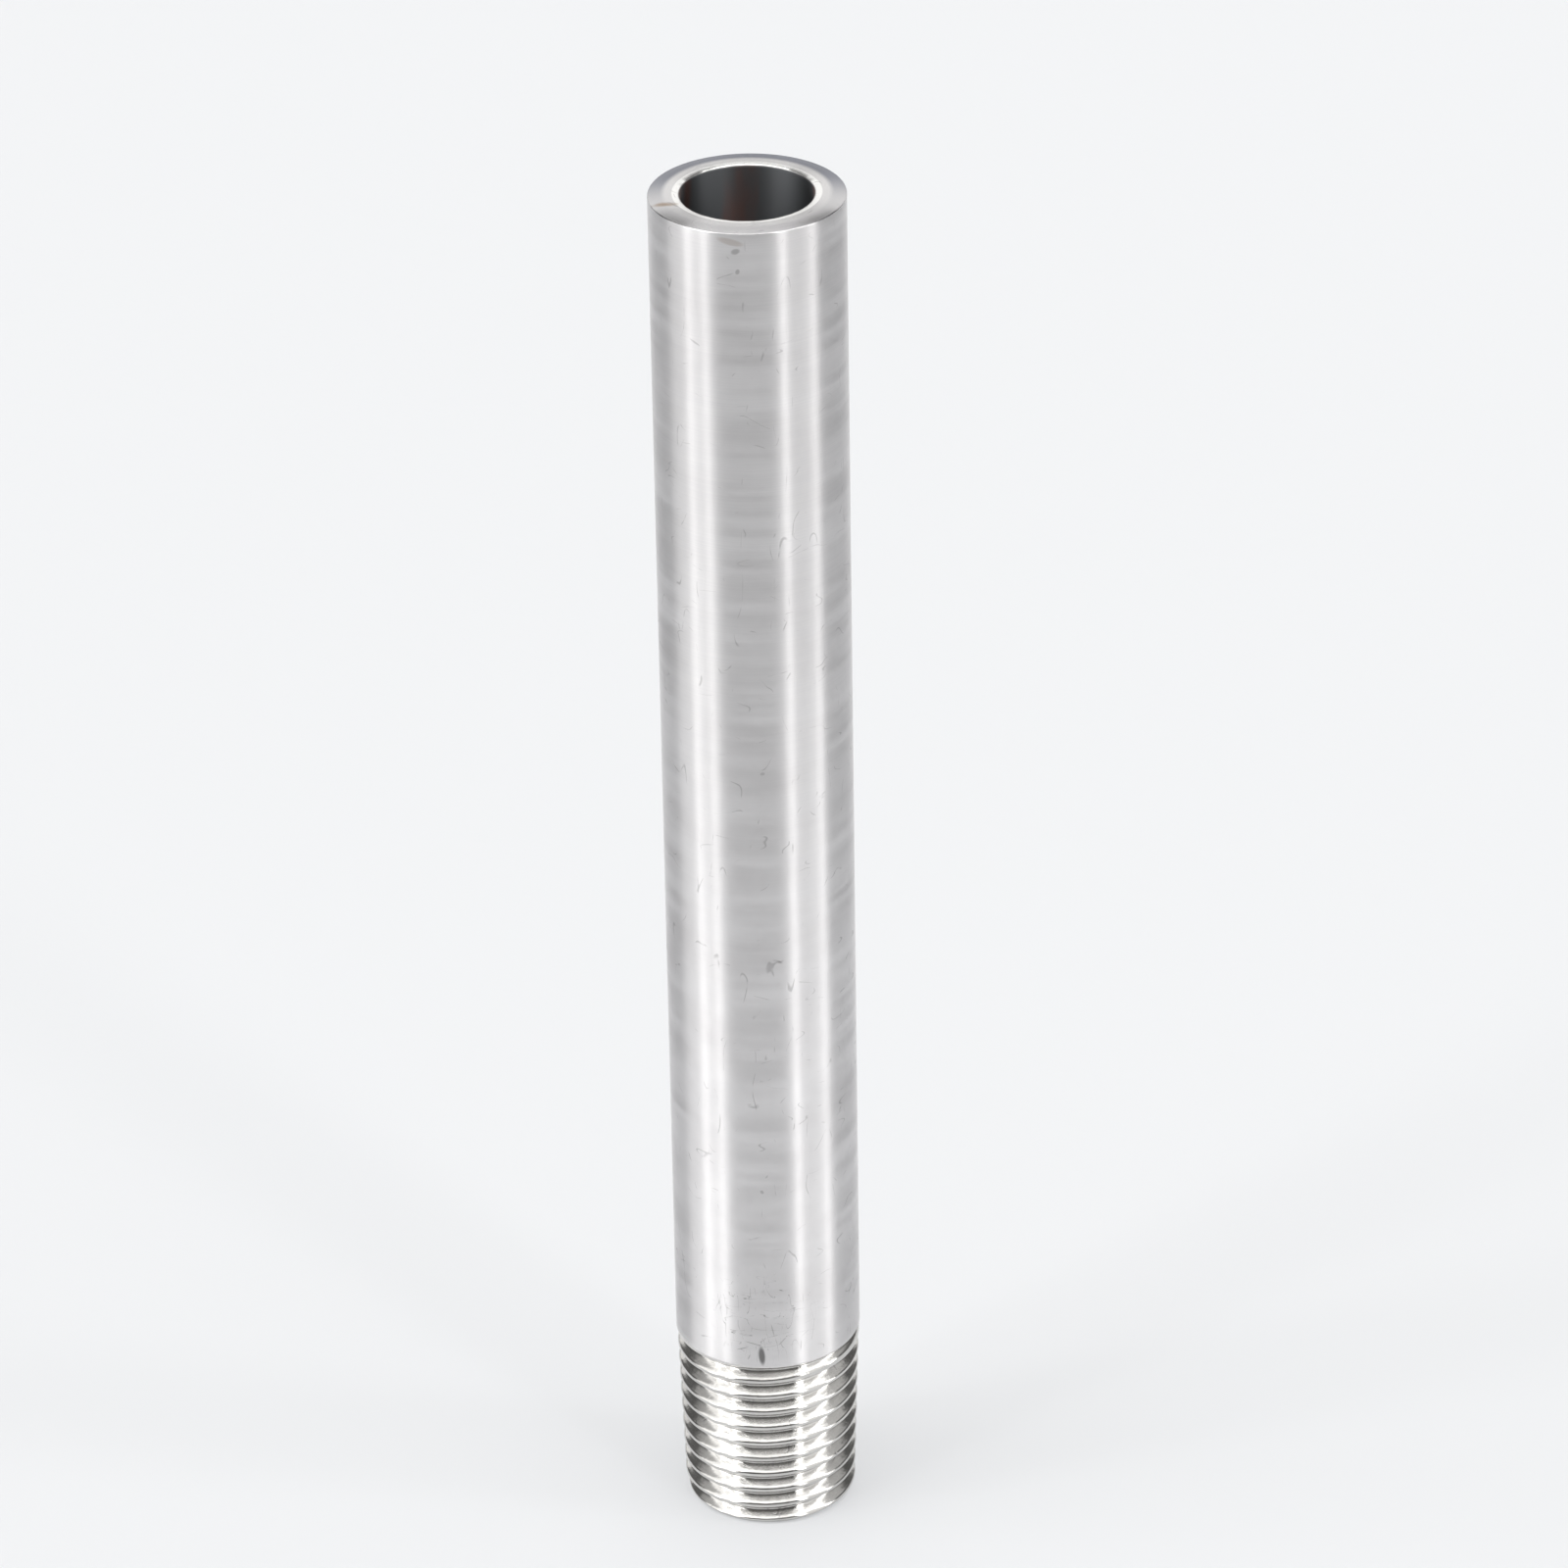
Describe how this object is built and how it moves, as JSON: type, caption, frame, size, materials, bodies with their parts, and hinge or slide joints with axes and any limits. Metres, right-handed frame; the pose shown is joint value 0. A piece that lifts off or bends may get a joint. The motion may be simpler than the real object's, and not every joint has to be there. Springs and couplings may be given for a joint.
{
  "type": "threaded pipe nipple",
  "caption": "Straight length of steel pipe with a right-hand male taper pipe thread cut on its foot and a plain, square-faced top end; fluid runs through its open bore.",
  "frame": {"origin": "centre of the end face at the threaded foot, on the pipe's axis", "axes": "+Z along the pipe's axis from the threaded foot to the plain end; the lowest whole groove of the thread is centred 0.96 mm above the foot on the -Y side"},
  "size_m": [0.0138, 0.0138, 0.106],
  "materials": {
    "stainless_steel": "satin stainless steel, fine turning lines round the pipe, bright thread flanks"
  },
  "bodies": {
    "root": {"pipe_nipple": "stainless_steel"}
  },
  "joints": []
}
